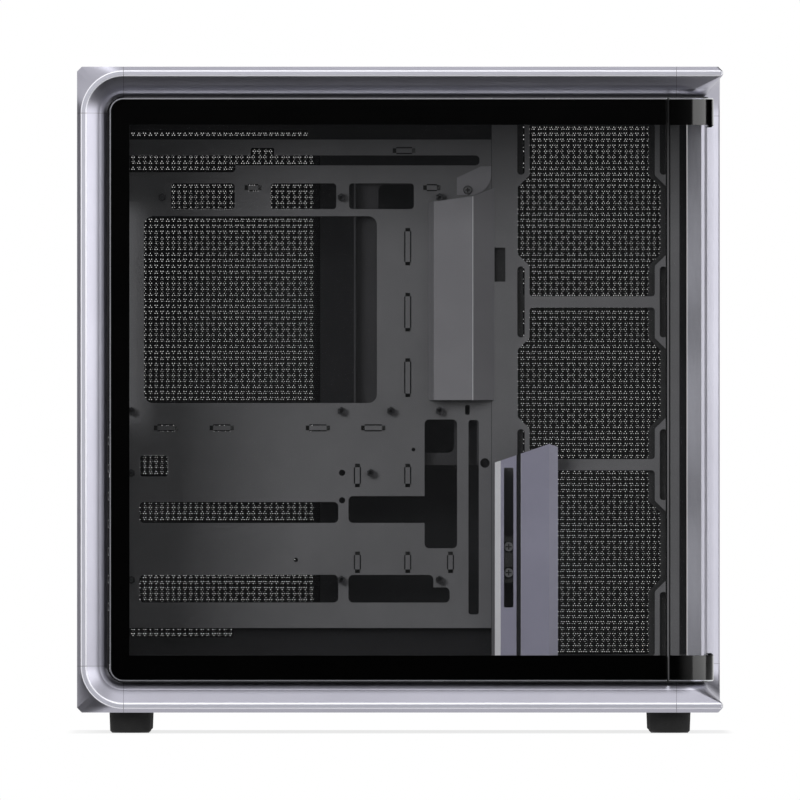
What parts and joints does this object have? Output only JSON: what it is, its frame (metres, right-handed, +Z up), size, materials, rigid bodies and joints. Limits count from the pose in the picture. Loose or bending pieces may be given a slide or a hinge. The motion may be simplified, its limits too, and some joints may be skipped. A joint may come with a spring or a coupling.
{
  "type": "computer case",
  "caption": "Dual-chamber computer case with a bevelled metal frame, a flat side glass, a bent front glass, a motherboard tray and a slotted side fan panel.",
  "frame": {"origin": "on the floor, under the middle of the case", "axes": "+X towards the front, -Y towards the glass side, +Z up"},
  "size_m": [0.473, 0.29, 0.488],
  "materials": {
    "frame": "fine satin, anodised",
    "glass": "clear, with a black printed border",
    "foot": "matte",
    "shell": "fine matte powder coat",
    "chassis": "matte powder coat",
    "tray": "matte powder coat",
    "cover": "satin powder coat",
    "holder": "satin",
    "plastic": "matte",
    "contact": "gloss",
    "button": "satin",
    "fastener": "satin"
  },
  "bodies": {
    "case": {"frame_top_side_rail": "frame", "frame_bottom_side_rail": "frame", "frame_rear_post": "frame", "frame_top_front_rail": "frame", "frame_bottom_front_rail": "frame", "frame_front_post": "frame", "frame_corner_rear_top": "frame", "frame_corner_rear_bottom": "frame", "frame_corner_far_top": "frame", "frame_corner_far_bottom": "frame", "frame_corner_front_top": "frame", "frame_corner_front_bottom": "frame", "foot_rear_near": "foot", "foot_rear_far": "foot", "foot_front_near": "foot", "foot_front_far": "foot", "top_panel": "shell", "bottom_cover": "shell", "base_plate": "chassis", "roof_plate": "chassis", "rear_panel": "chassis", "supply_bracket": "chassis", "drive_bracket": "chassis", "slot_cover_1": "chassis", "slot_cover_2": "chassis", "slot_cover_3": "chassis", "slot_cover_4": "chassis", "slot_cover_5": "chassis", "slot_cover_6": "chassis", "slot_cover_7": "chassis", "motherboard_tray": "tray", "fan_panel": "tray", "tie_hooks": "tray", "cable_cover": "cover", "cable_cover_bracket": "cover", "gpu_holder_post": "holder", "fan_filter_frame": "plastic", "port_block": "plastic", "stud_sockets": "plastic", "port_tongues": "contact", "standoffs": "fastener", "bracket_screw": "fastener", "slot_cover_screws": "fastener", "supply_screws": "fastener"},
    "side_glass": {"side_glass": "glass", "side_glass_studs": "plastic"},
    "front_glass": {"front_glass": "glass", "front_glass_studs": "plastic"},
    "right_panel": {"right_side_panel": "shell", "right_panel_studs": "plastic"},
    "button": {"power_button": "button"},
    "holder_arm": {"gpu_holder_arm": "holder", "gpu_holder_screw_lower": "fastener", "gpu_holder_screw_upper": "fastener"},
    "filter": {"bottom_filter": "plastic"}
  },
  "joints": [
    {"name": "side_glass_pull", "type": "slide", "parent": "case", "child": "side_glass", "axis": [0, -1, 0], "range_m": [0, 0.25]},
    {"name": "front_glass_pull", "type": "slide", "parent": "case", "child": "front_glass", "axis": [1, 0, 0], "range_m": [0, 0.25]},
    {"name": "right_panel_pull", "type": "slide", "parent": "case", "child": "right_panel", "axis": [0, 1, 0], "range_m": [0, 0.25]},
    {"name": "power_button_press", "type": "slide", "parent": "case", "child": "button", "axis": [0, 0, -1], "range_m": [0, 0.0012], "stiffness_N_per_m": 400},
    {"name": "holder_arm_slide", "type": "slide", "parent": "case", "child": "holder_arm", "axis": [0, 0, 1], "range_m": [-0.0175, 0.05]},
    {"name": "filter_slide", "type": "slide", "parent": "case", "child": "filter", "axis": [-1, 0, 0], "range_m": [0, 0.3]}
  ]
}
